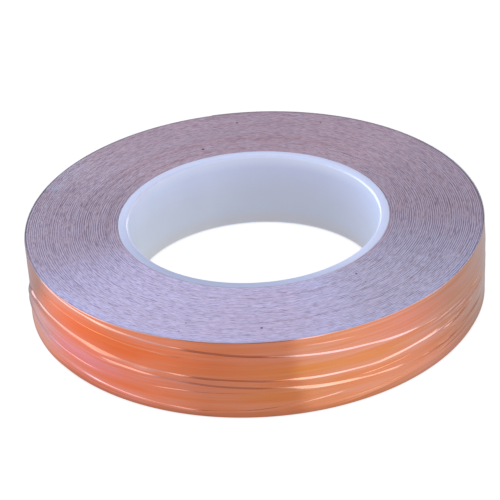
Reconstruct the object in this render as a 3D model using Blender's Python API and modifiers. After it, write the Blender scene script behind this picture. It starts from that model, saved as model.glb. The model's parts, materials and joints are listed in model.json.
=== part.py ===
"""Copper foil tape roll: foil, adhesive and release liner wound on a plastic core.

The roll lies on the plane z = 0 with its winding axis on +Z. Metres throughout.
"""

import math

import bmesh
import bpy

# Driving dimensions
TAPE_WIDTH = 0.025
ROLL_RADIUS = 0.0695  # outside of the foil, at the free end
CORE_BORE_RADIUS = 0.0381
CORE_WALL = 0.0030
BORE_CHAMFER = 0.0006
RIM_CHAMFER = 0.0003

FOIL_THICKNESS = 0.000035
ADHESIVE_THICKNESS = 0.000030
LINER_THICKNESS = 0.000100
LAYER_GAP = 0.000010  # clearance between bonded layers, and between one turn and the next
GLUE_THICKNESS = 0.000100
GLUE_WIDTH = 0.0240

FACETS = 144  # flat faces round the whole circle, shared by every piece so that they nest
FREE_END_ANGLE = math.radians(100)  # where the tape ends, counter-clockwise from +X
END_FACETS = 10  # length of the free end, in facets
ROOT_FACETS = 3  # length of the free end along which the foil stays on its liner
GLUE_FACETS = 11
GLUE_START_ANGLE = math.radians(100)
SHARP_ANGLE = math.radians(30)  # edges steeper than this are not smoothed over
BEND_GAP = 0.0003  # clearance where a strip is cut at a bend, so that the cut ends can swing
EDGE_INSET = 0.00005  # how far the outermost turn's edges stand in from the roll's two flat faces

MERGE_DISTANCE = 0.00001

# Worked out
FACET_ANGLE = 2 * math.pi / FACETS
CORE_RADIUS = CORE_BORE_RADIUS + CORE_WALL
TURN_PITCH = FOIL_THICKNESS + ADHESIVE_THICKNESS + LINER_THICKNESS + 3 * LAYER_GAP
FOIL_DEPTH = FOIL_THICKNESS  # depth of each layer's inner face below the outside of the foil
ADHESIVE_DEPTH = FOIL_DEPTH + LAYER_GAP + ADHESIVE_THICKNESS
LINER_DEPTH = ADHESIVE_DEPTH + LAYER_GAP + LINER_THICKNESS
WOUND_HOLE_RADIUS = CORE_RADIUS + GLUE_THICKNESS + 2 * LAYER_GAP
LIFT_ANGLE = FREE_END_ANGLE - END_FACETS * FACET_ANGLE  # azimuth of the bend where the end lifts
PEEL_ANGLE = LIFT_ANGLE + ROOT_FACETS * FACET_ANGLE  # azimuth of the bend where the foil peels
BEND_GAP_ANGLE = BEND_GAP / ROLL_RADIUS
START_ANGLE = FREE_END_ANGLE - 2 * math.pi  # where the outermost turn begins


def clear_scene():
    for obj in list(bpy.data.objects):
        bpy.data.objects.remove(obj)


def new_collection(name):
    collection = bpy.data.collections.new(name)
    bpy.context.scene.collection.children.link(collection)
    return collection


def new_material(name, color, roughness, metallic):
    material = bpy.data.materials.new(name)
    material.use_nodes = True
    shader = material.node_tree.nodes["Principled BSDF"]
    shader.inputs["Base Color"].default_value = (*color, 1)
    shader.inputs["Roughness"].default_value = roughness
    shader.inputs["Metallic"].default_value = metallic
    return material


def tape_radius(angle):
    """Radius of the outside of the foil: it drops by one turn for each turn back from the free end."""
    return ROLL_RADIUS - TURN_PITCH * (FREE_END_ANGLE - angle) / (2 * math.pi)


def circle_point(angle, radius):
    return (radius * math.cos(angle), radius * math.sin(angle))


def tape_point(angle, depth):
    return circle_point(angle, tape_radius(angle) - depth)


def facet_angles(start, end):
    """The facet corners between two angles, with the two angles themselves."""
    first = math.floor((start - START_ANGLE) / FACET_ANGLE + 1e-6) + 1
    last = math.ceil((end - START_ANGLE) / FACET_ANGLE - 1e-6) - 1
    corners = [START_ANGLE + FACET_ANGLE * i for i in range(first, last + 1)]
    return [start, *corners, end]


def add_spline(curve, points, cyclic):
    spline = curve.splines.new("POLY")
    spline.points.add(len(points) - 1)
    for spline_point, (x, y) in zip(spline.points, points):
        spline_point.co = (x, y, 0, 1)
    spline.use_cyclic_u = cyclic


def add_open_strip(curve, points, height):
    """Turns a curve into a thin upright wall along these points."""
    curve.dimensions = "3D"
    curve.extrude = height / 2
    add_spline(curve, points, cyclic=False)


def thicken_outwards(obj, thickness):
    solidify = obj.modifiers.new("Thickness", "SOLIDIFY")
    solidify.thickness = thickness
    solidify.offset = -1
    solidify.use_even_offset = True


def place(obj, collection, material, location, parent):
    obj.data.materials.append(material)
    obj.location = location
    obj.parent = parent
    collection.objects.link(obj)
    return obj


def add_strip(name, collection, material, start, end, depth, thickness, bend=None):
    """A stretch of one layer of the outermost turn. Its inner face follows the spiral at this depth."""
    origin = bend.matrix_world.translation if bend else (0, 0, 0)
    points = [tape_point(angle, depth) for angle in facet_angles(start, end)]
    curve = bpy.data.curves.new(name, "CURVE")
    width = TAPE_WIDTH - 2 * EDGE_INSET
    add_open_strip(curve, [(x - origin[0], y - origin[1]) for x, y in points], width)
    middle = (0, 0, 0 if bend else TAPE_WIDTH / 2)
    strip = place(bpy.data.objects.new(name, curve), collection, material, middle, bend)
    thicken_outwards(strip, thickness)


def add_core(collection, material):
    """A turned ring with a chamfer on each of its four edges."""
    top = TAPE_WIDTH
    profile = [
        (CORE_RADIUS - RIM_CHAMFER, top),
        (CORE_RADIUS, top - RIM_CHAMFER),
        (CORE_RADIUS, RIM_CHAMFER),
        (CORE_RADIUS - RIM_CHAMFER, 0),
        (CORE_BORE_RADIUS + BORE_CHAMFER, 0),
        (CORE_BORE_RADIUS, BORE_CHAMFER),
        (CORE_BORE_RADIUS, top - BORE_CHAMFER),
        (CORE_BORE_RADIUS + BORE_CHAMFER, top),
    ]
    mesh = bpy.data.meshes.new("core")
    outline = bmesh.new()
    corners = [outline.verts.new((radius, 0, z)) for radius, z in profile]
    for i, corner in enumerate(corners):
        outline.edges.new((corner, corners[(i + 1) % len(corners)]))
    outline.to_mesh(mesh)
    outline.free()
    core = place(bpy.data.objects.new("core", mesh), collection, material, (0, 0, 0), None)
    screw = core.modifiers.new("Turn", "SCREW")
    screw.steps = FACETS
    screw.render_steps = FACETS
    screw.use_merge_vertices = True
    screw.merge_threshold = MERGE_DISTANCE
    turned = bpy.data.meshes.new_from_object(core.evaluated_get(bpy.context.evaluated_depsgraph_get()))
    turned.shade_smooth()
    turned.set_sharp_from_angle(angle=SHARP_ANGLE)
    core.modifiers.clear()
    core.data = turned


def add_glue_strip(collection, material):
    """The strip between the core and the first turn, bent round the core."""
    radius = CORE_RADIUS + LAYER_GAP
    angles = [GLUE_START_ANGLE + FACET_ANGLE * i for i in range(GLUE_FACETS + 1)]
    curve = bpy.data.curves.new("glue_strip", "CURVE")
    add_open_strip(curve, [circle_point(angle, radius) for angle in angles], GLUE_WIDTH)
    middle = (0, 0, TAPE_WIDTH / 2)
    strip = place(bpy.data.objects.new("glue_strip", curve), collection, material, middle, None)
    thicken_outwards(strip, GLUE_THICKNESS)


def add_wound_turns(collection, material):
    """All the turns under the outermost one. Their outside is the spiral, one turn further in."""
    curve = bpy.data.curves.new("wound_turns", "CURVE")
    curve.dimensions = "2D"
    curve.fill_mode = "BOTH"
    curve.extrude = TAPE_WIDTH / 2
    corners = [START_ANGLE + FACET_ANGLE * i for i in range(FACETS + 1)]
    depth = LINER_DEPTH + LAYER_GAP
    add_spline(curve, [tape_point(angle, depth) for angle in corners], cyclic=True)
    add_spline(curve, [circle_point(angle, WOUND_HOLE_RADIUS) for angle in corners[:-1]], cyclic=True)
    middle = (0, 0, TAPE_WIDTH / 2)
    place(bpy.data.objects.new("wound_turns", curve), collection, material, middle, None)


def add_bend(name, collection, angle, depth, parent):
    """An empty on the vertical line about which a strip swings: the inner corner of its cut end."""
    x, y = tape_point(angle + BEND_GAP_ANGLE, depth)
    bend = bpy.data.objects.new(name, None)
    bend.empty_display_size = TAPE_WIDTH / 2
    world = (x, y, TAPE_WIDTH / 2)
    bend.location = [w - p for w, p in zip(world, parent.matrix_world.translation)] if parent else world
    bend.parent = parent
    collection.objects.link(bend)
    bpy.context.view_layer.update()
    return bend


def main():
    clear_scene()
    parts = new_collection("copper_foil_tape_roll")

    core_plastic = new_material("core_plastic", (0.78, 0.79, 0.80), 0.45, 0.0)
    glue = new_material("glue", (0.75, 0.70, 0.55), 0.40, 0.0)
    tape_edges = new_material("tape_edges", (0.60, 0.45, 0.42), 0.70, 0.0)
    liner_paper = new_material("liner_paper", (0.80, 0.76, 0.68), 0.75, 0.0)
    adhesive = new_material("adhesive", (0.72, 0.68, 0.58), 0.25, 0.0)
    copper = new_material("copper_foil", (0.86, 0.37, 0.18), 0.25, 1.0)

    add_core(parts, core_plastic)
    add_glue_strip(parts, glue)
    add_wound_turns(parts, tape_edges)

    layers = {
        "liner": (liner_paper, LINER_DEPTH, LINER_THICKNESS),
        "adhesive": (adhesive, ADHESIVE_DEPTH, ADHESIVE_THICKNESS),
        "foil": (copper, FOIL_DEPTH, FOIL_THICKNESS),
    }
    lift = add_bend("tape_end_lift", parts, LIFT_ANGLE, LINER_DEPTH, None)
    peel = add_bend("foil_peel", parts, PEEL_ANGLE, ADHESIVE_DEPTH, lift)
    for layer, (material, depth, thickness) in layers.items():
        start = START_ANGLE + BEND_GAP_ANGLE
        add_strip(f"{layer}_last_turn", parts, material, start, LIFT_ANGLE, depth, thickness)

    lifted = LIFT_ANGLE + BEND_GAP_ANGLE
    peeled = PEEL_ANGLE + BEND_GAP_ANGLE
    add_strip("liner_end", parts, liner_paper, lifted, FREE_END_ANGLE, LINER_DEPTH, LINER_THICKNESS, lift)
    for layer in ("adhesive", "foil"):
        material, depth, thickness = layers[layer]
        add_strip(f"{layer}_end_root", parts, material, lifted, PEEL_ANGLE, depth, thickness, lift)
        add_strip(f"{layer}_end", parts, material, peeled, FREE_END_ANGLE, depth, thickness, peel)


main()
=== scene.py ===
"""The looks of the copper foil tape roll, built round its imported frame.

The roll lies on z = 0 with its winding axis on +Z, and the photo's camera stands at -Y. Azimuths run
counter-clockwise from +X. Lengths in the constants and in the shapes are in millimetres; those in the
materials, the lights and the camera are in metres.
"""

import json
import math

import bpy
import numpy as np
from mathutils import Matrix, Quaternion, Vector


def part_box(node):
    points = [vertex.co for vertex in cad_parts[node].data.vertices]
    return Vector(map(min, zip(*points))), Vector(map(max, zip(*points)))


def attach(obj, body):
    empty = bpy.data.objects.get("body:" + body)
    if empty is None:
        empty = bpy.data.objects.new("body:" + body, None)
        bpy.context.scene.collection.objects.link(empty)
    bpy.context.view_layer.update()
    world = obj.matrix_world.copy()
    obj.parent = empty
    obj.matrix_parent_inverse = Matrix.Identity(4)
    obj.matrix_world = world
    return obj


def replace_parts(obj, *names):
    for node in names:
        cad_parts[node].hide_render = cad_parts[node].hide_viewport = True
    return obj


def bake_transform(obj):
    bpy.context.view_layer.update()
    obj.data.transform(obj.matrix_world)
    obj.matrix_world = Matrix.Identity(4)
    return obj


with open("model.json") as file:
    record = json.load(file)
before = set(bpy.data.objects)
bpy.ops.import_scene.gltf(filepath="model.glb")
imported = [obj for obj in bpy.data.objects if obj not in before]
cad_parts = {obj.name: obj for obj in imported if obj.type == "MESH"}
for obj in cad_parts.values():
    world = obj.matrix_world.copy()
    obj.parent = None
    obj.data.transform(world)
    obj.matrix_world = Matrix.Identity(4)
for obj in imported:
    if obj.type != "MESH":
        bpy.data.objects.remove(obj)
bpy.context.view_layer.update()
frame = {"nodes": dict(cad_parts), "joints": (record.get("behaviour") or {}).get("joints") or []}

MM = 0.001

# The tape's layers, as in the CAD
FOIL = 0.035
ADHESIVE = 0.030
LINER = 0.100
LAYER_GAP = 0.010
PITCH = FOIL + ADHESIVE + LINER + 3 * LAYER_GAP
FOIL_DEPTH = 0.0  # depth of each layer's outer face below the outside of the foil
ADHESIVE_DEPTH = FOIL + LAYER_GAP
LINER_DEPTH = ADHESIVE_DEPTH + ADHESIVE + LAYER_GAP
WOUND_DEPTH = LINER_DEPTH + LINER + LAYER_GAP
LEAN = 0.15  # how far the shading of the wound turns' slit edges leans outwards

CHAMFER = 0.6  # at each mouth of the core's bore

# Level directions along which the painted light and shade on the core and on the wound tape change round
# the roll
TO_BACK, TO_FRONT = (0.5, 0.87, 0.0), (-0.42, -0.91, 0.0)
TO_RIGHT, TO_FRONT_RIGHT = (0.87, -0.5, 0.0), (0.74, -0.67, 0.0)

# Seeds of the noise and of the random draws
TOP_SEED, FOOT_SEED, SLIP_SEED = 11, 31, 77
FINE_SEED, CRUMPLE_SEED, HIDDEN_SEED = 30, 21, 8
LONG_WAVE_SEED, SHORT_WAVE_SEED, FOLD_SEED = 3, 4, 5


# ---------------------------------------------------------------- facts from the frame


def node_points(name):
    """A CAD node's corners, in millimetres."""
    vertices = frame["nodes"][name].data.vertices
    flat = np.empty(len(vertices) * 3)
    vertices.foreach_get("co", flat)
    return flat.reshape(-1, 3) / MM


def node_radii(name):
    points = node_points(name)
    radii = np.hypot(points[:, 0], points[:, 1])
    return radii.min(), radii.max()


def joint_place(name):
    """Where a joint sits, in metres."""
    return Vector(next(joint for joint in frame["joints"] if joint["name"] == name)["pos_m"])


def azimuth_of(point):
    return math.atan2(point[1], point[0])


BORE_RADIUS, CORE_RADIUS = node_radii("core")
ROLL_RADIUS = node_radii("foil_end")[1]
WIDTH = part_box("wound_turns")[1].z / MM
EDGE_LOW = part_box("foil_last_turn")[0].z / MM
EDGE_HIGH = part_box("foil_last_turn")[1].z / MM
LIFT_HINGE = joint_place("tape_end_lift")
PEEL_HINGE = joint_place("foil_peel")
FREE_END = max(azimuth_of(point) for point in node_points("foil_end"))
LIFT_AT = azimuth_of(LIFT_HINGE)
PEEL_AT = azimuth_of(PEEL_HINGE)
TURN_START = FREE_END - 2 * math.pi


def tape_radius(angle, depth):
    """Radius at this depth below the outside of the tape, which spirals in from the free end."""
    return ROLL_RADIUS - PITCH * (FREE_END - angle) / (2 * math.pi) - depth


# ---------------------------------------------------------------- shared tools

LINE_CELLS = 4096  # values in the noise along a line, which then repeats
WALL_ROWS = 64  # rows of values in the noise up the wall, which then repeats
SHARP_DEGREES = 35  # edges steeper than this are not smoothed over


def smooth_step(x):
    x = np.clip(x, 0, 1)
    return x * x * (3 - 2 * x)


def window(x, start, rise, end, fall):
    """0 up to start, 1 in the middle, 0 from end on; rise and fall are the lengths of the slopes."""
    return smooth_step((x - start) / rise) * smooth_step((end - x) / fall)


def line_noise(seed, x):
    """Noise from -1 to 1 that varies smoothly over one unit of x."""
    table = np.random.default_rng(seed).uniform(-1, 1, LINE_CELLS)
    cell = np.floor(x).astype(int)
    blend = smooth_step(x - cell)
    return table[cell % LINE_CELLS] * (1 - blend) + table[(cell + 1) % LINE_CELLS] * blend


def wall_noise(seed, angle, height, cells_round, cell_height):
    """Noise from -1 to 1 over the roll's wall, which closes on itself round the roll."""
    table = np.random.default_rng(seed).uniform(-1, 1, (cells_round, WALL_ROWS))
    across = angle / (2 * math.pi) * cells_round
    up = height / cell_height
    i, j = np.floor(across).astype(int), np.floor(up).astype(int)
    s, t = smooth_step(across - i), smooth_step(up - j)
    i, j = i % cells_round, j % WALL_ROWS
    i_next, j_next = (i + 1) % cells_round, (j + 1) % WALL_ROWS
    low = table[i, j] * (1 - s) + table[i_next, j] * s
    high = table[i, j_next] * (1 - s) + table[i_next, j_next] * s
    return low * (1 - t) + high * t


def round_points(angles, radii, heights):
    """Points in metres at these azimuths, radii and heights in millimetres."""
    x, y = radii * np.cos(angles), radii * np.sin(angles)
    return np.stack(np.broadcast_arrays(x, y, heights), axis=-1) * MM


def mesh_from(name, points, quads, caps):
    """A mesh of quads, with a face of many corners for each cap."""
    sizes = [4] * len(quads) + [len(cap) for cap in caps]
    corners = np.concatenate([quads.ravel(), *caps])
    mesh = bpy.data.meshes.new(name)
    mesh.vertices.add(len(points))
    mesh.vertices.foreach_set("co", np.asarray(points, np.float32).ravel())
    mesh.loops.add(len(corners))
    mesh.loops.foreach_set("vertex_index", corners.astype(np.int32))
    mesh.polygons.add(len(sizes))
    starts = np.concatenate([[0], np.cumsum(sizes)[:-1]])
    mesh.polygons.foreach_set("loop_start", starts.astype(np.int32))
    mesh.update(calc_edges=True)
    mesh.validate()
    return mesh


def sweep(name, sections, closed):
    """A solid made of outlines set round the roll. sections is (stations, points, 3).

    Each outline runs down its outer side, in along its foot, up its inner side and out on top.
    """
    stations, count, _ = sections.shape
    here = np.arange(stations * count).reshape(stations, count)
    beside = np.roll(here, -1, axis=1)
    rows = slice(None) if closed else slice(0, -1)
    there, there_beside = np.roll(here, -1, axis=0), np.roll(beside, -1, axis=0)
    corners = [here[rows], beside[rows], there_beside[rows], there[rows]]
    quads = np.stack(corners, axis=-1).reshape(-1, 4)
    caps = [] if closed else [here[0][::-1], here[-1]]
    mesh = mesh_from(name, sections.reshape(-1, 3), quads, caps)
    mesh.shade_smooth()
    mesh.set_sharp_from_angle(angle=math.radians(SHARP_DEGREES))
    obj = bpy.data.objects.new(name, mesh)
    bpy.context.scene.collection.objects.link(obj)
    return obj


# ---------------------------------------------------------------- materials

MIX_SHARE, MIX_FIRST, MIX_SECOND, MIX_RESULT = 0, 6, 7, 2  # a Mix node's sockets for colours


class Material:
    """A node material with one Principled shader. add() makes a node and links or sets its inputs.

    Places are the object's own coordinates, in metres.
    """

    def __init__(self, name):
        self.material = bpy.data.materials.new(name)
        self.material.use_nodes = True
        self.tree = self.material.node_tree
        self.shader = self.tree.nodes["Principled BSDF"]

    def add(self, kind, inputs=None, **properties):
        made = self.tree.nodes.new("ShaderNode" + kind)
        for key, value in properties.items():
            setattr(made, key, value)
        self.feed(made, inputs or {})
        return made

    def feed(self, target, inputs):
        for key, value in inputs.items():
            if isinstance(value, bpy.types.NodeSocket):
                self.tree.links.new(value, target.inputs[key])
            else:
                target.inputs[key].default_value = value

    def math(self, operation, a, b=0.0):
        return self.add("Math", {0: a, 1: b}, operation=operation).outputs[0]

    def times(self, a, b):
        return self.math("MULTIPLY", a, b)

    def vector(self, operation, a, b=None):
        """A vector operation's result: a number for a length, a distance or a dot product."""
        made = self.add("VectorMath", {0: a} if b is None else {0: a, 1: b}, operation=operation)
        return made.outputs["Value" if operation in ("LENGTH", "DISTANCE", "DOT_PRODUCT") else "Vector"]

    def place(self):
        return self.add("TexCoord").outputs["Object"]

    def coordinates(self):
        return self.add("SeparateXYZ", {0: self.place()}).outputs[:]

    def scaled_place(self, x, y, z):
        return self.vector("MULTIPLY", self.place(), (x, y, z))

    def level_place(self):
        return self.scaled_place(1, 1, 0)

    def noise(self, vector, scale, detail=2.0, roughness=0.5):
        inputs = {"Vector": vector, "Scale": scale, "Detail": detail, "Roughness": roughness}
        return self.add("TexNoise", inputs).outputs["Fac"]

    def between(self, value, low, high, new_low=0.0, new_high=1.0):
        """The value carried over from one range to another, and kept inside it."""
        old = {"From Min": low, "From Max": high}
        new = {"To Min": new_low, "To Max": new_high}
        return self.add("MapRange", {"Value": value, **old, **new}).outputs["Result"]

    def mix(self, share, first, second, blend_type="MIX"):
        made = self.add("Mix", data_type="RGBA", blend_type=blend_type)
        self.feed(made, {MIX_SHARE: share, MIX_FIRST: first, MIX_SECOND: second})
        return made.outputs[MIX_RESULT]

    def tint(self, share, base, factors):
        """Multiplies the base colour by these factors, where share is 1."""
        return self.mix(share, base, factors, "MULTIPLY")

    def bump(self, height, distance, strength, normal=None):
        inputs = {"Height": height, "Distance": distance, "Strength": strength}
        if normal is not None:
            inputs["Normal"] = normal
        return self.add("Bump", inputs).outputs["Normal"]

    def mouth_share(self):
        """1 within a chamfer's depth of either face of the roll, 0 between."""
        _, _, height = self.coordinates()
        from_middle = self.math("ABSOLUTE", self.math("SUBTRACT", height, WIDTH * MM / 2))
        start = WIDTH / 2 - CHAMFER
        return self.between(from_middle, (start - 0.05) * MM, (start + 0.15) * MM)

    def axis_distance(self):
        """Distance from the winding axis."""
        return self.vector("LENGTH", self.level_place())

    def distance_from(self, azimuth, reach):
        """Level distance from a place at this azimuth in degrees and this far from the axis in mm."""
        turn = math.radians(azimuth)
        spot = (reach * MM * math.cos(turn), reach * MM * math.sin(turn), 0.0)
        return self.vector("DISTANCE", self.level_place(), spot)


def rgba(red, green, blue):
    return (red, green, blue, 1.0)


def fill_ramp(ramp, stops):
    """Sets a colour ramp's stops, given as (position, colour) from left to right."""
    while len(ramp.elements) > 1:
        ramp.elements.remove(ramp.elements[-1])
    ramp.elements[0].position, ramp.elements[0].color = stops[0]
    for position, color in stops[1:]:
        ramp.elements.new(position).color = color


def core_material():
    """Off-white moulded plastic with painted light and shade by place, and glossy chamfers with a painted
    highlight.
    """
    m = Material("core_plastic_look")
    x, y, z = m.coordinates()
    cloud = m.noise(m.place(), 60, 3)
    turning_marks = m.noise(m.scaled_place(1, 1, 30), 160, 2)
    base = m.mix(m.between(cloud, 0.3, 0.7), rgba(0.76, 0.77, 0.78), rgba(0.80, 0.81, 0.81))

    # Painted light and shade: bluer towards the top, darker at the back, warmer at the foot, and lighter
    # at the two sides
    base = m.mix(m.between(z, 0.012, 0.024, 0.0, 0.4), base, rgba(0.84, 0.90, 0.99))
    towards_back = m.vector("DOT_PRODUCT", m.place(), TO_BACK)
    base = m.mix(m.between(towards_back, 0.024, 0.038, 0.0, 0.35), base, rgba(0.60, 0.60, 0.67))
    base = m.tint(m.between(z, 0.008, 0.020), base, rgba(0.96, 0.985, 1.05))
    base = m.tint(m.between(z, 0.006, 0.001), base, rgba(1.03, 0.94, 0.84))
    base = m.tint(m.between(x, -0.018, -0.036), base, rgba(1.12, 1.11, 1.06))
    base = m.tint(m.between(x, 0.024, 0.036), base, rgba(1.04, 1.03, 1.07))
    # Painted light: lighter and bluer near the upper mouth of the bore, towards the back
    near_mouth = m.times(m.between(z, 0.0205, 0.0245), m.between(y, 0.0, 0.028))
    base = m.mix(m.times(near_mouth, 0.75), base, rgba(0.90, 0.95, 1.0))

    # The upper face, darker at the front as painted shade, and the chamfers, bluer as painted light, and
    # near white and glossy with a painted highlight except at the back
    towards_front = m.vector("DOT_PRODUCT", m.place(), TO_FRONT)
    rim_front = m.between(towards_front, 0.012, 0.040)
    rim_shade = m.mix(rim_front, rgba(0.93, 0.95, 0.97), rgba(0.62, 0.64, 0.67))
    on_rim = m.between(z, (WIDTH - 0.9) * MM, (WIDTH - 0.6) * MM)
    base = m.mix(on_rim, base, rim_shade)
    chamfer_edge = BORE_RADIUS + CHAMFER
    near_bore = m.between(m.axis_distance(), chamfer_edge * MM, (chamfer_edge - 0.15) * MM)
    chamfered = m.times(near_bore, m.mouth_share())
    base = m.mix(m.times(chamfered, 0.8), base, rgba(0.80, 0.90, 1.0))
    # Painted highlight: the chamfers near white towards the front, where they are also glossier
    burnish_and_highlight = m.times(chamfered, m.between(y, 0.018, 0.032, 1.0, 0.0))
    base = m.mix(burnish_and_highlight, base, rgba(0.98, 0.99, 1.0))
    unburnished_roughness = m.between(cloud, 0.2, 0.8, 0.30, 0.42)
    inputs = {
        "Base Color": base,
        "Roughness": m.math("SUBTRACT", unburnished_roughness, m.times(burnish_and_highlight, 0.16)),
        "IOR": m.between(burnish_and_highlight, 0.0, 1.0, 1.49, 2.2),
        "Subsurface Weight": 0.15,
        "Subsurface Radius": (0.003, 0.003, 0.0035),
        "Subsurface Scale": 1.0,
        "Normal": m.bump(turning_marks, 0.00002, 0.35),
    }
    m.feed(m.shader, inputs)
    return m.material


LINE_SPACING = 0.62  # the turns' edges show in groups about this far apart
# Dark specks on the wound tape: azimuth in degrees, distance from the axis, and size.
SPECKS = [
    (108.6, 47.1, 0.50), (93.4, 62.0, 0.42), (-89.6, 62.2, 0.45), (-52.4, 46.5, 0.36),
    (68, 63.6, 0.32), (-53.5, 51.5, 0.24), (-168.6, 55.0, 0.26), (-109.5, 61.0, 0.28),
    (-110.0, 65.3, 0.26), (-139, 57.5, 0.22),
]
# Pale rubbed patches, given in the same way, with how strongly each shows.
SCUFFS = [(158, 66.4, 3.6, 0.5), (151, 66.8, 4.5, 0.35), (144, 67.2, 4.0, 0.25)]
# The edges of one turn's layers, from its inner side to its outer side: liner, adhesive, then foil.
EDGE_STOPS = [
    (0.00, rgba(0.80, 0.67, 0.70)),
    (0.50, rgba(0.82, 0.69, 0.73)),
    (0.58, rgba(0.71, 0.55, 0.54)),
    (0.78, rgba(0.68, 0.51, 0.49)),
    (0.86, rgba(0.80, 0.44, 0.34)),
    (1.00, rgba(0.72, 0.45, 0.38)),
]


def turns_from_outside(m, x, y, radius):
    """How many turns a place lies inside the outside of the wound tape, along the spiral."""
    angle = m.math("ARCTAN2", y, x)
    past_end = m.math("GREATER_THAN", angle, FREE_END)
    wound_angle = m.math("SUBTRACT", angle, m.times(past_end, 2 * math.pi))
    inwards = m.math("SUBTRACT", (ROLL_RADIUS - WOUND_DEPTH) * MM, radius)
    spiral = m.math("DIVIDE", m.math("SUBTRACT", FREE_END, wound_angle), 2 * math.pi)
    return m.math("SUBTRACT", m.math("DIVIDE", inwards, PITCH * MM), spiral)


def wound_edge_material():
    """The roll's flat faces: each turn shows the edges of its liner, its adhesive and its foil."""
    m = Material("wound_edge_look")
    radius = m.axis_distance()
    x, y, _ = m.coordinates()
    sideways = m.math("DIVIDE", m.math("ABSOLUTE", x), radius)
    outwards = m.vector("NORMALIZE", m.level_place())
    turns_in = turns_from_outside(m, x, y, radius)
    layers = m.add("ValToRGB", {0: m.math("SUBTRACT", 1.0, m.math("FRACT", turns_in))})
    fill_ramp(layers.color_ramp, EDGE_STOPS)
    rings = m.add("CombineXYZ", {0: radius, 1: x, 2: y}).outputs[0]

    def ring_noise(scale_across, scale_along, detail, roughness):
        at = m.vector("MULTIPLY", rings, (scale_across, scale_along, scale_along))
        return m.noise(at, 1.0, detail, roughness)

    # Dark and pale lines of the turns' edges, stronger at the sides and at the right as painted shade,
    # and stronger where the outer turns have slipped at the right
    drift = m.times(ring_noise(420, 34, 1.5, 0.5), 10.0)
    phase = m.math("ADD", m.times(radius, 2 * math.pi / (LINE_SPACING * MM)), drift)
    to_right = m.vector("DOT_PRODUCT", outwards, TO_RIGHT)
    depth = m.between(sideways, 0.80, 1.0, 0.08, 0.30)
    depth = m.math("ADD", depth, m.between(to_right, 0.70, 1.0, 0.0, 0.12))
    slipped = m.times(m.between(radius, 0.0655, 0.0690), m.between(x, 0.045, 0.060))
    depth = m.math("ADD", depth, m.times(slipped, 0.22))
    depth = m.times(depth, m.between(ring_noise(320, 150, 2, 0.5), 0.36, 0.62, 0.2, 1.4))
    lines = m.times(m.math("SINE", phase), depth)
    hairs = ring_noise(5200, 480, 1.0, 0.6)
    grain = m.math("ADD", lines, hairs)
    colour = m.mix(m.between(grain, 0.52, 0.74, 0.0, 0.8), layers.outputs[0], rgba(0.93, 0.80, 0.83))
    colour = m.mix(m.between(grain, 0.28, 0.48, 0.8, 0.0), colour, rgba(0.36, 0.25, 0.27))

    # Broad bands, dark dashes (stronger at the sides as painted shade), and painted shade and sheen by
    # place
    bands = ring_noise(380, 26, 2, 0.5)
    colour = m.mix(m.between(bands, 0.45, 0.75, 0.0, 0.15), colour, rgba(0.70, 0.49, 0.46))
    dashes = m.between(ring_noise(2600, 210, 1.0, 0.5), 0.60, 0.70)
    dashes = m.times(dashes, m.between(sideways, 0.4, 1.0, 0.20, 0.62))
    colour = m.mix(dashes, colour, rgba(0.30, 0.21, 0.24))
    # Painted shade: darker towards the back and at the two sides
    colour = m.mix(m.between(y, 0.010, 0.045, 0.0, 0.09), colour, rgba(0.22, 0.16, 0.19))
    colour = m.mix(m.between(sideways, 0.72, 1.0, 0.0, 0.26), colour, rgba(0.20, 0.15, 0.17))
    near_core = m.times(m.between(radius, 0.0413, 0.0428, 0.4, 0.0), m.between(bands, 0.45, 0.60))
    colour = m.mix(near_core, colour, rgba(0.80, 0.45, 0.40))
    # Painted shade in the gap beside the outermost turns, all round but the front
    gap_shade = m.times(m.between(turns_in, 1.0, 3.2, 0.85, 0.0), m.between(y, -0.035, 0.0))
    colour = m.mix(gap_shade, colour, rgba(0.14, 0.12, 0.12))
    outer_sheen = m.times(m.between(radius, 0.0665, 0.0690), m.between(y, -0.020, -0.040))
    colour = m.mix(m.times(outer_sheen, 0.20), colour, rgba(0.62, 0.70, 0.96))
    for azimuth, reach, size, strength in SCUFFS:
        scuffed = m.between(m.distance_from(azimuth, reach), 0.0, size * MM, strength, 0.0)
        scuffed = m.times(scuffed, m.between(hairs, 0.35, 0.6))
        colour = m.mix(scuffed, colour, rgba(0.80, 0.92, 1.0))
    for azimuth, reach, size in SPECKS:
        away = m.distance_from(azimuth, reach)
        speck = m.between(away, 0.6 * size * MM, size * MM, 0.9, 0.0)
        colour = m.mix(speck, colour, rgba(0.06, 0.03, 0.04))
    # Painted sheen: bluer towards the front right
    front_right = m.vector("DOT_PRODUCT", outwards, TO_FRONT_RIGHT)
    colour = m.tint(m.between(front_right, 0.78, 0.98), colour, rgba(0.98, 1.13, 1.20))

    face = m.add("NewGeometry").outputs["Normal"]
    lean = m.vector("MULTIPLY", outwards, (LEAN, LEAN, 0))
    leaned = m.vector("NORMALIZE", m.vector("ADD", face, lean))
    # The outermost wound turn's own foil, which shows on the wall when the free end lifts
    upright = m.math("ABSOLUTE", m.add("SeparateXYZ", {0: face}).outputs[2])
    on_wall = m.times(m.between(upright, 0.5, 0.3), m.between(turns_in, 0.35, 0.20))
    inputs = {
        "Base Color": m.mix(on_wall, colour, rgba(0.93, 0.45, 0.27)),
        "Roughness": 0.20,
        "Metallic": m.between(on_wall, 0.0, 1.0, 0.15, 1.0),
        "IOR": 1.5,
        "Normal": m.bump(grain, 0.00005, 0.25, leaned),
    }
    m.feed(m.shader, inputs)
    return m.material


FOIL_TINT_LAYER = "foil_tint"  # the colour attribute that carries the foil's tints, with painted shade beside some creases


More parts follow.
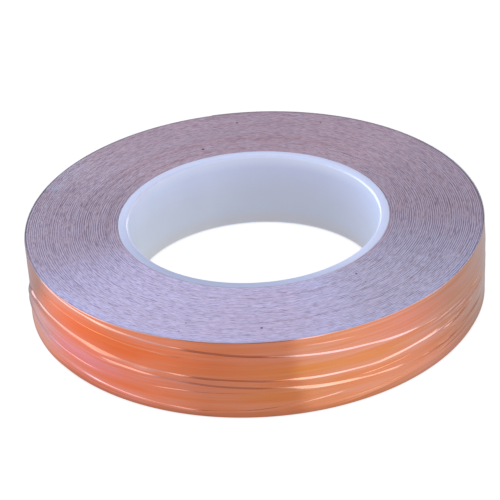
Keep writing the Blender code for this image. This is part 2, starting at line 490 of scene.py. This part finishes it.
def foil_material(tinted):
    """Bright rolled copper. The outermost turn takes its tints, painted crease shade among them, from its
    mesh; the free end has none.
    """
    m = Material("copper_foil_look" if tinted else "copper_foil_end_look")
    streaks = m.noise(m.scaled_place(12, 12, 1500), 1.0, 3, 0.6)
    clouds = m.noise(m.scaled_place(1, 1, 3.5), 45, 2)
    copper = m.mix(m.between(clouds, 0.35, 0.65), rgba(0.93, 0.43, 0.25), rgba(0.93, 0.47, 0.30))
    copper = m.mix(m.between(streaks, 0.50, 0.68, 0.0, 0.45), copper, rgba(0.97, 0.64, 0.52))
    copper = m.mix(m.between(streaks, 0.34, 0.50, 0.40, 0.0), copper, rgba(0.91, 0.36, 0.18))
    bands = m.noise(m.scaled_place(22, 22, 520), 1.0, 2, 0.5)
    copper = m.mix(m.between(bands, 0.55, 0.72, 0.0, 0.30), copper, rgba(0.96, 0.62, 0.52))
    copper = m.mix(m.between(bands, 0.30, 0.45, 0.30, 0.0), copper, rgba(0.92, 0.38, 0.17))
    patches = m.noise(m.scaled_place(1, 1, 7), 38, 2, 0.6)
    copper = m.mix(m.between(patches, 0.50, 0.62, 0.0, 0.5), copper, rgba(0.94, 0.40, 0.19))
    copper = m.mix(m.between(patches, 0.38, 0.50, 0.5, 0.0), copper, rgba(0.93, 0.50, 0.38))
    if tinted:
        copper = m.tint(1.0, copper, m.add("Attribute", attribute_name=FOIL_TINT_LAYER).outputs["Color"])
    fine = m.bump(streaks, 0.00001, 0.25)
    wrinkles = m.noise(m.scaled_place(45, 45, 500), 1.0, 2)
    inputs = {
        "Base Color": copper,
        "Metallic": 1.0,
        "Roughness": m.between(streaks, 0.3, 0.7, 0.14, 0.22),
        "Normal": m.bump(wrinkles, 0.00010, 0.6, fine),
    }
    m.feed(m.shader, inputs)
    return m.material


def liner_material():
    m = Material("liner_paper_look")
    fibres = m.noise(m.scaled_place(1, 1, 2.5), 900, 4, 0.65)
    mottle = m.noise(m.place(), 120, 3)
    base = m.mix(m.between(mottle, 0.35, 0.65), rgba(0.80, 0.76, 0.67), rgba(0.86, 0.82, 0.74))
    base = m.mix(m.between(fibres, 0.4, 0.7, 0.0, 0.2), base, rgba(0.70, 0.64, 0.54))
    inputs = {
        "Base Color": base,
        "Roughness": m.between(mottle, 0.3, 0.7, 0.36, 0.5),
        "Coat Weight": 0.25,
        "Coat Roughness": 0.3,
        "Normal": m.bump(fibres, 0.00003, 0.4),
    }
    m.feed(m.shader, inputs)
    return m.material


def adhesive_material(name, first, second):
    m = Material(name)
    mottle = m.noise(m.place(), 350, 3)
    base = m.mix(m.between(mottle, 0.35, 0.65), first, second)
    inputs = {
        "Base Color": base,
        "Roughness": m.between(mottle, 0.3, 0.7, 0.12, 0.24),
        "Coat Weight": 0.4,
        "Coat Roughness": 0.12,
        "Normal": m.bump(mottle, 0.00002, 0.4),
    }
    m.feed(m.shader, inputs)
    return m.material


# ---------------------------------------------------------------- the core

CORE_STATIONS = 288  # outlines round the core
RIM_ROUNDING = 0.25  # radius of the two outer edges
RIM_CORNERS = 5  # points along each rounded edge


def add_core(material):
    """A turned plastic ring: rounded outer edges, and a wider chamfer round each mouth of the bore."""
    outline = []
    centre = CORE_RADIUS - RIM_ROUNDING
    arc = np.linspace(0, math.pi / 2, RIM_CORNERS)
    for out, up in zip(RIM_ROUNDING * np.sin(arc), RIM_ROUNDING * np.cos(arc)):
        outline.append((centre + out, WIDTH - RIM_ROUNDING + up))
    for out, down in zip(RIM_ROUNDING * np.cos(arc), RIM_ROUNDING * np.sin(arc)):
        outline.append((centre + out, RIM_ROUNDING - down))
    mouth = [  # the lower chamfer, with its two edges eased
        (BORE_RADIUS + CHAMFER + 0.12, 0.0),
        (BORE_RADIUS + CHAMFER - 0.05, 0.04),
        (BORE_RADIUS + 0.05, CHAMFER - 0.05),
        (BORE_RADIUS, CHAMFER + 0.12),
    ]
    outline += mouth
    outline += [(BORE_RADIUS, WIDTH / 2)]
    outline += [(radius, WIDTH - height) for radius, height in reversed(mouth)]
    outline = np.array(outline)
    angles = np.arange(CORE_STATIONS)[:, None] / CORE_STATIONS * 2 * math.pi
    sections = round_points(angles, outline[None, :, 0], outline[None, :, 1])
    core = sweep("core_ring", sections, closed=True)
    core.data.materials.append(material)
    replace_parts(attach(core, "roll"), "core")


# ---------------------------------------------------------------- the wound turns

GLUE_STATIONS = 13  # outlines along the glue strip
WOUND_STATIONS = 161  # outlines round the wound tape
EDGE_TILT = 0.04  # each turn's edge slopes down outwards, as the tape was slit
MEAN_EDGE_DEPTH = 0.085  # how far a turn's edge stands in from the flat face, on average
LEAST_EDGE_DEPTH, MOST_EDGE_DEPTH = 0.02, 0.4
SLIP, SLIP_SPREAD = 0.10, 0.16  # how far the outer turns have slipped at the right


def turn_edge_depth(turn, seed):
    """How far each turn's edge stands in from the flat face. turn counts along the spiral."""
    fine = 0.030 * line_noise(seed, turn / 0.37)
    slow = 0.022 * line_noise(seed + 1, turn / 1.3)
    broad = 0.030 * line_noise(seed + 2, turn / 9.0)
    slack = line_noise(seed + 3, turn / 0.9)
    deep = 0.10 * smooth_step((slack - 0.72) / 0.28)
    return np.clip(MEAN_EDGE_DEPTH + fine + slow + broad + deep, LEAST_EDGE_DEPTH, MOST_EDGE_DEPTH)


def loose_edge_depth(angles, turns_in):
    """The outer turns have slipped a little against each other at the right."""
    outer = smooth_step((9 - turns_in) / 5)
    place = window(np.degrees(angles), -48, 18, 28, 20)
    return outer * place * (SLIP + SLIP_SPREAD * line_noise(SLIP_SEED, turns_in * 0.9))


def add_glue(material):
    """The strip that holds the tape's first turn to the core."""
    points = node_points("glue_strip")
    azimuths = np.arctan2(points[:, 1], points[:, 0])
    angles = np.linspace(azimuths.min(), azimuths.max(), GLUE_STATIONS)[:, None]
    inner, outer = node_radii("glue_strip")
    foot, top = points[:, 2].min(), points[:, 2].max()
    outline = np.array([(outer, top), (outer, foot), (inner, foot), (inner, top)])
    sections = round_points(angles, outline[None, :, 0], outline[None, :, 1])
    glue = sweep("glue", sections, closed=False)
    glue.data.materials.append(material)
    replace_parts(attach(glue, "roll"), "glue_strip")


def add_wound_turns(material):
    """Every turn under the outermost one, as one solid whose two faces show each turn's edge."""
    angles = np.linspace(TURN_START, FREE_END, WOUND_STATIONS)[:, None]
    outside = tape_radius(angles, WOUND_DEPTH)
    innermost = node_radii("wound_turns")[0]
    turns = int((outside[0, 0] - innermost) / PITCH)
    number = np.arange(turns)[None, :]
    inner_edge = outside - PITCH * (turns - number)
    outer_edge = inner_edge + PITCH
    inner_edge = np.where(number == 0, innermost, inner_edge)
    along = number + (angles - TURN_START) / (2 * math.pi)
    slipped = loose_edge_depth(angles, turns - number - 0.5)
    top = WIDTH - turn_edge_depth(along, TOP_SEED) - slipped
    foot = turn_edge_depth(along, FOOT_SEED)
    steps = np.stack([inner_edge, outer_edge], axis=-1).reshape(WOUND_STATIONS, -1)
    tilt = np.tile([0.5 * EDGE_TILT * PITCH, -0.5 * EDGE_TILT * PITCH], turns)
    top_steps = np.repeat(top, 2, axis=1) + tilt
    foot_steps = np.repeat(foot, 2, axis=1) - tilt
    radii = np.concatenate([steps[:, ::-1], steps], axis=1)
    heights = np.concatenate([foot_steps[:, ::-1], top_steps], axis=1)
    sections = round_points(angles, radii, heights)
    wound = sweep("wound_tape", sections, closed=False)
    wound.data.materials.append(material)
    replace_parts(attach(wound, "roll"), "wound_turns")


# ---------------------------------------------------------------- the outermost turn

# Creases in the foil: how far it stands off, the widths of its steep side and of its easy side, then
# the azimuth in degrees and the height above the lower face of points along its steepest line.
CREASES = [
    (0.14, 0.55, 1.6, [(-158, 25.1), (-146, 24.6), (-134, 23.9), (-120, 23.0)]),
    (0.22, 0.85, 2.4, [(-136, 24.0), (-120, 23.0), (-100, 21.4), (-84, 19.8), (-66, 18.3), (-50, 16.4),
                       (-37, 15.6)]),
    (0.34, 0.90, 3.0, [(-180, 7.4), (-174, 9.9), (-168, 12.8), (-164, 14.6), (-157, 15.2)]),
    (0.13, 0.55, 1.0, [(-158, 20.9), (-142, 20.6), (-118, 19.7), (-102, 18.8)]),
    (0.74, 2.40, 6.0, [(-178, 8.4), (-172, 10.6), (-168, 12.8), (-164, 14.7), (-158, 15.4), (-148, 15.3),
                       (-138, 15.0), (-130, 14.4), (-118, 13.7), (-110, 13.3)]),
    (0.21, 0.55, 0.9, [(-146, 12.6), (-134, 12.2), (-122, 11.8)]),
    (0.30, 0.80, 1.8, [(-117, 13.7), (-100, 12.9), (-84, 12.1), (-70, 11.4), (-62, 11.1), (-52, 11.5),
                       (-38, 12.2)]),
    (0.32, 1.00, 2.2, [(-134, 12.9), (-122, 12.4), (-106, 11.2), (-87, 9.8), (-72, 8.3), (-58, 7.0),
                       (-49, 6.4)]),
    (0.36, 1.10, 1.6, [(-174, 6.9), (-163, 7.6), (-152, 7.5), (-138, 7.1), (-122, 7.5)]),
    (0.19, 0.60, 1.0, [(-158, 9.6), (-146, 9.8), (-130, 9.5)]),
    (0.17, 0.60, 0.9, [(-168, 4.6), (-152, 4.9), (-138, 4.6)]),
    (0.15, 0.45, 1.0, [(-132, 7.6), (-114, 8.1), (-98, 8.4), (-76, 8.1)]),
    (0.14, 0.45, 1.4, [(-86, 7.4), (-72, 6.5), (-56, 5.4)]),
    (0.26, 0.75, 1.4, [(-149, 4.1), (-136, 3.6), (-126, 3.0), (-114, 2.5), (-98, 1.7)]),
    (0.18, 0.55, 0.8, [(-166, 3.2), (-150, 2.6), (-130, 1.8), (-112, 1.3)]),
    (0.16, 0.55, 1.4, [(-110, 2.1), (-92, 2.7), (-80, 4.0), (-62, 6.0)]),
    (0.13, 0.50, 1.2, [(-79, 1.7), (-63, 2.7), (-50, 3.4), (-28, 3.8)]),
    (0.14, 0.40, 0.9, [(-76, 0.8), (-64, 2.0), (-54, 2.7)]),
    (0.12, 0.45, 1.2, [(-72, 8.9), (-56, 8.8), (-44, 9.3)]),
    (0.20, 0.50, 0.7, [(-44, 15.2), (-31, 14.9), (-14, 14.5)]),
    (0.14, 0.40, 0.5, [(-46, 14.0), (-34, 13.6), (-16, 12.9)]),
    (0.28, 0.55, 0.8, [(-46, 10.2), (-36, 10.8), (-28, 11.3), (-12, 11.0)]),
    (0.16, 0.42, 0.6, [(-44, 8.9), (-30, 9.2), (-14, 9.7)]),
    (0.30, 0.60, 0.8, [(-49, 6.5), (-40, 6.1), (-29, 7.0), (-13, 6.5)]),
    (0.25, 0.50, 0.7, [(-49, 4.1), (-36, 4.4), (-16, 4.0)]),
    (0.16, 0.42, 0.6, [(-42, 12.7), (-28, 12.5), (-10, 12.0)]),
]
FINE_CREASES = 30
CRUMPLES = 40
HIDDEN_CREASES = 15


def straight(middle, reach, height, slope):
    """Points along a straight crease. middle and reach are in degrees, slope is in mm a degree."""
    return [(middle + step * reach, height + slope * step * reach) for step in (-1.0, 0.0, 1.0)]


def fine_creases():
    """Faint creases that run nearly level along the front."""
    chance = np.random.default_rng(FINE_SEED)
    made = []
    for _ in range(FINE_CREASES):
        middle, reach = chance.uniform(-178, -12), chance.uniform(6, 20)
        height = chance.uniform(1.5, 23.5)
        slope = chance.uniform(-0.09, 0.00) if middle < -60 else chance.uniform(-0.05, 0.06)
        size, steep, easy = chance.uniform(0.02, 0.07), chance.uniform(0.4, 0.9), chance.uniform(0.6, 1.4)
        made.append((size, steep, easy, straight(middle, reach, height, slope)))
    return made


def crumples():
    """Short creases where the tape was squeezed, at the right of the front."""
    chance = np.random.default_rng(CRUMPLE_SEED)
    made = []
    for _ in range(CRUMPLES):
        middle, reach = chance.uniform(-42, -14), chance.uniform(6, 14)
        height, slope = chance.uniform(2.5, 15.5), chance.uniform(-0.03, 0.05)
        steep, tilt = chance.uniform(0.30, 0.60), chance.uniform(0.2, 0.8)
        easy = chance.uniform(0.3, 0.7)
        made.append((tilt * steep / 2, steep, easy, straight(middle, reach, height, slope)))
    return made


def hidden_creases():
    """Creases like the others on the far side, which the photo doesn't show."""
    chance = np.random.default_rng(HIDDEN_SEED)
    made = []
    for _ in range(HIDDEN_CREASES):
        middle, reach = chance.uniform(-5, 172), chance.uniform(14, 38)
        height, slope = chance.uniform(2, 23), chance.uniform(-0.09, 0.06)
        bend = chance.uniform(-0.8, 0.8)
        points = [
            (middle + step * reach, height + slope * step * reach + bend * (1 - step * step))
            for step in (-1.0, -0.4, 0.2, 1.0)
        ]
        size, steep, easy = chance.uniform(0.06, 0.2), 0.35, chance.uniform(0.9, 2.4)
        made.append((size, steep, easy, points))
    return made


ONSET = 0.2  # share of a crease's steep side over which the foil turns outwards
WANDER = 0.07  # how far a crease strays from its line
SWELL = 0.22  # share by which its height varies along it
FADE_IN, FADE_OUT = 0.14, 0.18  # radians over which it rises and dies out at its ends


def crease_climb(down):
    """A crease's steep side, from 0 to 1: it turns out sharply, then levels off."""
    down = np.clip(down, 0, 1)
    return np.where(down < ONSET, down**2 / ONSET, 1 - (1 - down) ** 2 / (1 - ONSET))


def crease_rise(angles, heights):
    """How far the creases lift the foil, over a grid of azimuths and heights."""
    rise = np.zeros(np.broadcast(angles, heights).shape)
    for size, steep, easy, points in CREASES + fine_creases() + crumples() + hidden_creases():
        at, level = np.radians([p[0] for p in points]), np.array([p[1] for p in points])
        turned = at.mean() + (angles - at.mean() + math.pi) % (2 * math.pi) - math.pi
        wander = WANDER * line_noise(len(points) + int(level[0] * 7), turned * 9.0)
        below = np.interp(turned, at, level) - heights + wander + ONSET * steep
        climb = crease_climb(below / steep)
        fall = 1 - smooth_step((below - steep) / easy)
        fade = window(turned, at[0], FADE_IN, at[-1], FADE_OUT)
        swell = 1 - SWELL + SWELL * line_noise(int(level[-1] * 13), turned * 7.0)
        rise = rise + size * climb * fall * fade * swell
    return rise


# How far each kind of relief lifts the foil
LEFT_BELLY, RIGHT_BELLY = 0.40, 0.30
LONG_WAVES, SHORT_WAVES = 0.020, 0.010
FOLDS = 0.06
LEAST_RISE = 0.03
# Where the relief dies out: millimetres at the edges, radians at the ends
EDGE_FADE, END_FADE = 0.35, 0.12
EDGE_ROUNDING = 0.25  # how far in from each edge the foil starts to turn in
LEFT_CURL, RIGHT_CURL = 0.80, 0.35  # how far it turns in, as a share of its thickness


def wall_rise(angles, heights):
    """The foil's relief: creases, slack bellies, waves and folds, with the two edges turned in."""
    degrees = np.degrees(angles)
    slack_left = window(degrees, -190, 18, -138, 16) * smooth_step((11 - heights) / 7)
    slack_right = window(degrees, -34, 20, 12, 18) * smooth_step((24 - heights) / 6)
    belly = LEFT_BELLY * slack_left + RIGHT_BELLY * slack_right
    waves = LONG_WAVES * wall_noise(LONG_WAVE_SEED, angles, heights, 26, 6.0)
    waves = waves + SHORT_WAVES * wall_noise(SHORT_WAVE_SEED, angles, heights, 60, 2.4)
    squeezed = window(degrees, -52, 14, -2, 12) * window(heights, 1.5, 3, 19, 4)
    folds = 1 - np.abs(wall_noise(FOLD_SEED, angles + 0.006 * heights, heights, 46, 1.1))
    waves = waves + FOLDS * squeezed * folds**2
    rise = np.maximum(crease_rise(angles, heights) + waves + belly + LEAST_RISE, 0)
    edge = window(heights, EDGE_LOW, EDGE_FADE, EDGE_HIGH, EDGE_FADE)
    ends = window(angles, TURN_START, END_FADE, LIFT_AT, END_FADE)
    curl = RIGHT_CURL + (LEFT_CURL - RIGHT_CURL) * smooth_step((-96 - degrees) / 20)
    rounding = 1 - window(heights, EDGE_LOW, EDGE_ROUNDING, EDGE_HIGH, EDGE_ROUNDING)
    return rise * edge * ends - curl * FOIL * rounding


# Tints on the foil, patches lighter, darker or of another hue: factors for red, green and blue, azimuth
# in degrees, height, then how far each reaches along the wall in degrees and up it in millimetres. The
# last seven are narrow dark lines of painted shade beside creases.
TINTS = [
    ((1.03, 0.63, 0.32), -133, 18.2, 30, 3.8),
    ((1.16, 1.02, 0.92), -163, 19.5, 6, 5.0),
    ((1.30, 1.11, 1.02), -155, 20.5, 8, 3.6),
    ((1.00, 0.89, 1.40), -139, 9.2, 22, 4.6),
    ((0.88, 0.97, 1.00), -151, 11.0, 11, 8.0),
    ((1.00, 1.00, 1.25), -128, 2.5, 20, 2.0),
    ((0.80, 1.12, 1.28), -158, 7.0, 9, 6.5),
    ((1.03, 0.86, 0.66), -122, 5.4, 12, 1.2),
    ((1.02, 0.80, 0.62), -138, 1.6, 12, 0.9),
    ((0.92, 0.90, 0.88), -108, 12.0, 8, 4.0),
    ((1.00, 0.95, 0.60), -80, 14.6, 12, 1.8),
    ((1.00, 0.95, 0.66), -61, 14.0, 10, 1.6),
    ((0.97, 0.95, 0.68), -88, 7.2, 10, 2.4),
    ((1.05, 0.92, 0.92), -50, 21.0, 16, 4.0),
    ((1.00, 0.90, 0.76), -63, 9.5, 12, 1.4),
    ((0.97, 1.22, 1.38), -15, 9.0, 12, 7.5),
    ((0.94, 1.14, 1.20), -172, 6.5, 7, 5.0),
    ((0.70, 0.57, 0.50), -33, 14.4, 10, 0.35),
    ((0.52, 0.38, 0.28), -33, 10.5, 6, 0.36),
    ((0.64, 0.50, 0.42), -39, 5.7, 7, 0.38),
    ((0.66, 0.52, 0.46), -26, 6.6, 6, 0.42),
    ((0.60, 0.45, 0.36), -34, 3.8, 9, 0.34),
    ((0.88, 0.84, 0.80), -30, 12.2, 10, 0.50),
    ((0.92, 0.86, 0.80), -42, 8.0, 9, 0.50),
]


def paint_foil(obj):
    """Tints each corner of the foil's mesh, with painted shade beside some creases."""
    mesh = obj.data
    flat = np.empty(len(mesh.vertices) * 3)
    mesh.vertices.foreach_get("co", flat)
    points = flat.reshape(-1, 3) / MM
    degrees = np.degrees(np.arctan2(points[:, 1], points[:, 0]))
    colours = np.ones((len(points), 4))
    for tint, azimuth, height, reach, spread in TINTS:
        turn = (degrees - azimuth + 180) % 360 - 180
        strength = np.exp(-((turn / reach) ** 2) - ((points[:, 2] - height) / spread) ** 2)
        colours[:, :3] *= 1 + strength[:, None] * (np.array(tint) - 1)
    layer = mesh.color_attributes.new(FOIL_TINT_LAYER, "FLOAT_COLOR", "POINT")
    layer.data.foreach_set("color", colours.astype(np.float32).ravel())


def strip_sections(angles, depth, thickness, rows, relief):
    """Outlines of a strip of tape: its outer face in rows, its inner face plain."""
    angles = angles[:, None]
    heights = np.linspace(EDGE_HIGH, EDGE_LOW, rows)[None, :]
    outer = tape_radius(angles, depth) + 0 * heights
    if relief is not None:
        outer = outer + relief(angles, heights)
    inner = tape_radius(angles, depth + thickness) + np.zeros((1, 2))
    radii = np.concatenate([outer, inner], axis=1)
    levels = np.concatenate([heights, [[EDGE_LOW, EDGE_HIGH]]], axis=1)
    return round_points(angles, radii, levels)


def add_strip(name, node, material, angles, depth, thickness, rows, relief=None):
    """A piece of tape that stands for a CAD node. It is still to ride on a body."""
    sections = strip_sections(angles, depth, thickness, rows, relief)
    strip = sweep(name, sections, closed=False)
    strip.data.materials.append(material)
    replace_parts(strip, node)
    return strip


FRONT_START, FRONT_END = math.radians(-186), math.radians(-2)  # where creases were given one by one
FOIL_ROWS = 232  # points up the creased foil
TAIL_ROWS = 8  # points up each strip of the free end
# Outlines along each strip
BEHIND_STATIONS, FRONT_STATIONS, BESIDE_STATIONS = 62, 300, 64
PLAIN_TURN_STATIONS, TAIL_STATIONS, ROOT_STATIONS, END_STATIONS = 361, 61, 25, 41


def last_turn_angles():
    """Azimuths for the creased turn, closer together at the front."""
    behind = np.linspace(TURN_START, FRONT_START, BEHIND_STATIONS)[:-1]
    front = np.linspace(FRONT_START, FRONT_END, FRONT_STATIONS)[:-1]
    beside = np.linspace(FRONT_END, LIFT_AT, BESIDE_STATIONS)
    return np.concatenate([behind, front, beside])


def bend_over(strip):
    """Bakes the strip's place into its mesh."""
    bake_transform(strip)


def add_tape(foil, foil_end, adhesive, liner):
    """The outermost turn and the free end, each as liner, adhesive and foil."""
    layers = {
        "liner": ("liner_paper", liner, LINER_DEPTH, LINER),
        "adhesive": ("adhesive", adhesive, ADHESIVE_DEPTH, ADHESIVE),
        "foil": ("copper_foil", foil, FOIL_DEPTH, FOIL),
    }
    plain_angles = np.linspace(TURN_START, LIFT_AT, PLAIN_TURN_STATIONS)
    for layer, (slot, material, depth, thickness) in layers.items():
        is_foil = layer == "foil"
        angles = last_turn_angles() if is_foil else plain_angles
        rows, relief = (FOIL_ROWS, wall_rise) if is_foil else (2, None)
        name, node = f"{layer}_turn", f"{layer}_last_turn"
        strip = add_strip(name, node, material, angles, depth, thickness, rows, relief)
        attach(strip, "roll")
        if is_foil:
            paint_foil(strip)

    slot, material, depth, thickness = layers["liner"]
    tail_angles = np.linspace(LIFT_AT, FREE_END, TAIL_STATIONS)
    tail = add_strip("liner_tail", "liner_end", material, tail_angles, depth, thickness, TAIL_ROWS)
    bend_over(tail)
    root_angles = np.linspace(LIFT_AT, PEEL_AT, ROOT_STATIONS)
    end_angles = np.linspace(PEEL_AT, FREE_END, END_STATIONS)
    for layer in ("adhesive", "foil"):
        slot, material, depth, thickness = layers[layer]
        material = foil_end if layer == "foil" else material
        name, node = f"{layer}_tail_root", f"{layer}_end_root"
        root = add_strip(name, node, material, root_angles, depth, thickness, TAIL_ROWS)
        bend_over(root)
        name, node = f"{layer}_tail", f"{layer}_end"
        end = add_strip(name, node, material, end_angles, depth, thickness, TAIL_ROWS)
        bend_over(end)


# ---------------------------------------------------------------- floor, lights and camera

FLOOR_SIZE = 6  # metres
# The floor's own glow as the copper reflects it: azimuth in degrees, then its colour.
FLOOR_GLOW = [
    (-180, (0.40, 0.39, 0.45)),
    (-174, (0.70, 0.49, 0.50)),
    (-168, (0.86, 0.57, 0.55)),
    (-157, (0.97, 0.59, 0.55)),
    (-138, (0.81, 0.51, 0.47)),
    (-118, (0.74, 0.47, 0.38)),
    (-104, (0.58, 0.37, 0.28)),
    (-82, (0.59, 0.40, 0.30)),
    (-78, (0.79, 0.62, 0.53)),
    (-60, (0.85, 0.68, 0.60)),
    (-42, (0.77, 0.62, 0.64)),
    (-22, (0.50, 0.50, 0.52)),
    (10, (0.43, 0.47, 0.52)),
    (180, (0.40, 0.39, 0.45)),
]
# How much of the softboxes' light lies on the floor further out: azimuth in degrees, then the share.
FLOOR_SPILL = [
    (-180, 1), (-156, 1), (-146, 0.45), (-126, 0.35), (-116, 0), (-79, 0), (-76, 1), (-22, 1),
    (-8, 0.45), (55, 0.30), (75, 0), (138, 0), (152, 1), (180, 1),
]


def round_ramp(m, angle, stops):
    """A colour ramp round the roll, from stops given as an azimuth in degrees and a colour."""
    ramp = m.add("ValToRGB", {0: m.between(angle, -math.pi, math.pi)})
    fill_ramp(ramp.color_ramp, [((degrees + 180) / 360, rgba(*color)) for degrees, color in stops])
    return ramp.outputs[0]


def floor_glow(m, reach):
    """What the floor shows to the roll, by azimuth and by distance from the axis."""
    x, y, _ = m.coordinates()
    angle = m.math("ARCTAN2", y, x)
    spill = round_ramp(m, angle, [(degrees, (share,) * 3) for degrees, share in FLOOR_SPILL])
    far = m.mix(spill, rgba(0.24, 0.10, 0.07), rgba(1.4, 1.6, 2.3))
    glow = m.mix(m.between(reach, 0.115, 0.140), round_ramp(m, angle, FLOOR_GLOW), far)
    glow = m.mix(m.between(reach, 0.045, 0.060, 1.0, 0.0), glow, rgba(0.64, 0.73, 0.88))
    # Painted contact shadow round the roll's foot, in what the copper reflects
    contact_shade = m.between(reach, (ROLL_RADIUS + 0.2) * MM, (ROLL_RADIUS + 2.6) * MM, 0.5, 0.0)
    contact_shade = m.times(contact_shade, m.math("GREATER_THAN", reach, CORE_RADIUS * MM))
    return m.mix(contact_shade, glow, rgba(0.22, 0.16, 0.12))


def floor_brightness(m, reach):
    """How bright the floor is to the camera: nearly white, with a painted contact shadow just where it
    meets the roll.
    """
    past_wall = m.between(reach, (ROLL_RADIUS - 0.3) * MM, (ROLL_RADIUS + 0.5) * MM, 0.72, 0.95)
    past_bore = m.between(reach, (BORE_RADIUS - 0.5) * MM, (BORE_RADIUS + 0.1) * MM, 0.95, 0.80)
    outside = m.math("GREATER_THAN", reach, (BORE_RADIUS + CORE_RADIUS) / 2 * MM)
    return m.mix(outside, past_bore, past_wall)


def add_floor():
    """A plain pale floor that shows as white, and that glows more softly on the roll itself."""
    bpy.ops.mesh.primitive_plane_add(size=FLOOR_SIZE)
    floor = bpy.context.object
    floor.name = "floor"
    m = Material("floor_look")
    reach = m.axis_distance()
    seen = m.add("LightPath").outputs["Is Camera Ray"]
    soft = m.add("Emission", {"Color": floor_glow(m, reach), "Strength": 0.85})
    white = m.add("Emission", {"Color": rgba(1.0, 1.0, 1.0), "Strength": floor_brightness(m, reach)})
    mixed = m.add("MixShader", {0: seen, 1: soft.outputs[0], 2: white.outputs[0]})
    surface = {"Base Color": rgba(0.14, 0.13, 0.12), "Roughness": 0.9, "Specular IOR Level": 0.1}
    m.feed(m.shader, surface)
    total = m.add("AddShader", {0: mixed.outputs[0], 1: m.shader.outputs[0]})
    m.feed(m.tree.nodes["Material Output"], {"Surface": total.outputs[0]})
    floor.data.materials.append(m.material)


# The softboxes and cards: where each stands, as azimuth and elevation in degrees and distance; then its
# width and height, its radiance and its colour.
SOFTBOXES = {
    "top_softbox": ((-90, 86, 1.1), (0.9, 0.9), 1.95, (0.56, 0.695, 1.08)),
    "left_softbox": ((154, 16, 1.0), (1.56, 0.52), 3.0, (0.60, 0.76, 1.0)),
    "far_left_softbox": ((110, 6.5, 1.0), (0.22, 0.19), 2.6, (0.70, 0.80, 1.0)),
    "far_right_softbox": ((63, 7.5, 1.0), (0.24, 0.20), 3.4, (0.74, 0.84, 1.0)),
    "right_softbox": ((-35, 16, 1.0), (1.62, 0.52), 1.8, (0.68, 0.74, 0.95)),
    "right_edge_card": ((-79, 16, 1.0), (0.19, 0.52), 0.4, (0.95, 0.80, 0.75)),
    "back_softbox": ((105, 50, 1.1), (0.75, 0.54), 1.7, (0.26, 0.51, 1.08)),
    "camera_side_card": ((-112, 17, 1.2), (2.1, 0.7), 0.16, (1.0, 0.38, 0.24)),
    "left_fill": ((-145.5, 16, 0.95), (0.79, 0.50), 1.0, (0.96, 0.97, 1.08)),
    "right_fill": ((33, 16, 0.95), (1.0, 0.50), 0.28, (0.90, 0.95, 1.0)),
}
LIT_POINT = Vector((0, 0, 0.012))  # what they face
ROOM_GLOW, ROOM_SEEN = rgba(0.23, 0.18, 0.17), rgba(1.0, 1.0, 1.0)  # on the roll, and to the camera


def around(azimuth, elevation, distance):
    """A place this far from the origin, at these angles in degrees."""
    azimuth, elevation = math.radians(azimuth), math.radians(elevation)
    level = distance * math.cos(elevation)
    return Vector((level * math.cos(azimuth), level * math.sin(azimuth), distance * math.sin(elevation)))


def add_softbox(name, place, width, height, radiance, color):
    """A rectangular light of even brightness, turned to face the roll."""
    data = bpy.data.lights.new(name, "AREA")
    data.shape = "RECTANGLE"
    data.size, data.size_y = width, height
    data.energy = radiance * math.pi * width * height
    data.color = color
    light = bpy.data.objects.new(name, data)
    light.location = place
    light.rotation_mode = "QUATERNION"
    light.rotation_quaternion = (LIT_POINT - place).to_track_quat("-Z", "Y")
    light.visible_camera = False
    bpy.context.scene.collection.objects.link(light)


def add_lights():
    """The softboxes, and a dim room that the camera sees as white."""
    for name, (place, (width, height), radiance, color) in SOFTBOXES.items():
        add_softbox(name, around(*place), width, height, radiance, color)
    world = bpy.data.worlds.new("studio")
    bpy.context.scene.world = world
    world.use_nodes = True
    tree = world.node_tree
    path = tree.nodes.new("ShaderNodeLightPath")
    pick = tree.nodes.new("ShaderNodeMix")
    pick.data_type = "RGBA"
    pick.inputs[MIX_FIRST].default_value = ROOM_GLOW
    pick.inputs[MIX_SECOND].default_value = ROOM_SEEN
    tree.links.new(path.outputs["Is Camera Ray"], pick.inputs[MIX_SHARE])
    tree.links.new(pick.outputs[MIX_RESULT], tree.nodes["Background"].inputs["Color"])


CAMERA_AZIMUTH, CAMERA_ELEVATION = -89.8, 30.93  # degrees, seen from what it is aimed at
CAMERA_DISTANCE = 0.5728
CAMERA_ROLL = -3.42  # degrees
CAMERA_AIM = (-0.0017, 0.0, 0.00025)  # from the roll's middle
CAMERA_LENS, CAMERA_SENSOR = 134.74, 36.0  # millimetres
CAMERA_CLIP = (0.01, 50.0)


def add_camera():
    """A long lens, a little above the roll and rolled a little, aimed close to the roll's middle."""
    back = around(CAMERA_AZIMUTH, CAMERA_ELEVATION, 1.0)
    middle = Vector((0.0, 0.0, WIDTH * MM / 2))
    data = bpy.data.cameras.new("camera")
    data.sensor_width = CAMERA_SENSOR
    data.lens = CAMERA_LENS
    data.clip_start, data.clip_end = CAMERA_CLIP
    camera = bpy.data.objects.new("camera", data)
    camera.rotation_mode = "QUATERNION"
    camera.location = middle + Vector(CAMERA_AIM) + back * CAMERA_DISTANCE
    roll = Quaternion((0, 0, 1), math.radians(CAMERA_ROLL))
    camera.rotation_quaternion = (-back).to_track_quat("-Z", "Y") @ roll
    bpy.context.scene.collection.objects.link(camera)
    bpy.context.scene.camera = camera


def main():
    adhesive = adhesive_material("adhesive_look", rgba(0.70, 0.48, 0.34), rgba(0.76, 0.56, 0.42))
    glue = adhesive_material("glue_look", rgba(0.72, 0.66, 0.50), rgba(0.78, 0.72, 0.58))
    add_core(core_material())
    add_glue(glue)
    add_wound_turns(wound_edge_material())
    add_tape(foil_material(True), foil_material(False), adhesive, liner_material())
    add_floor()
    add_lights()
    add_camera()
    settings = bpy.context.scene.view_settings
    settings.view_transform = "Standard"
    settings.look = "None"


main()
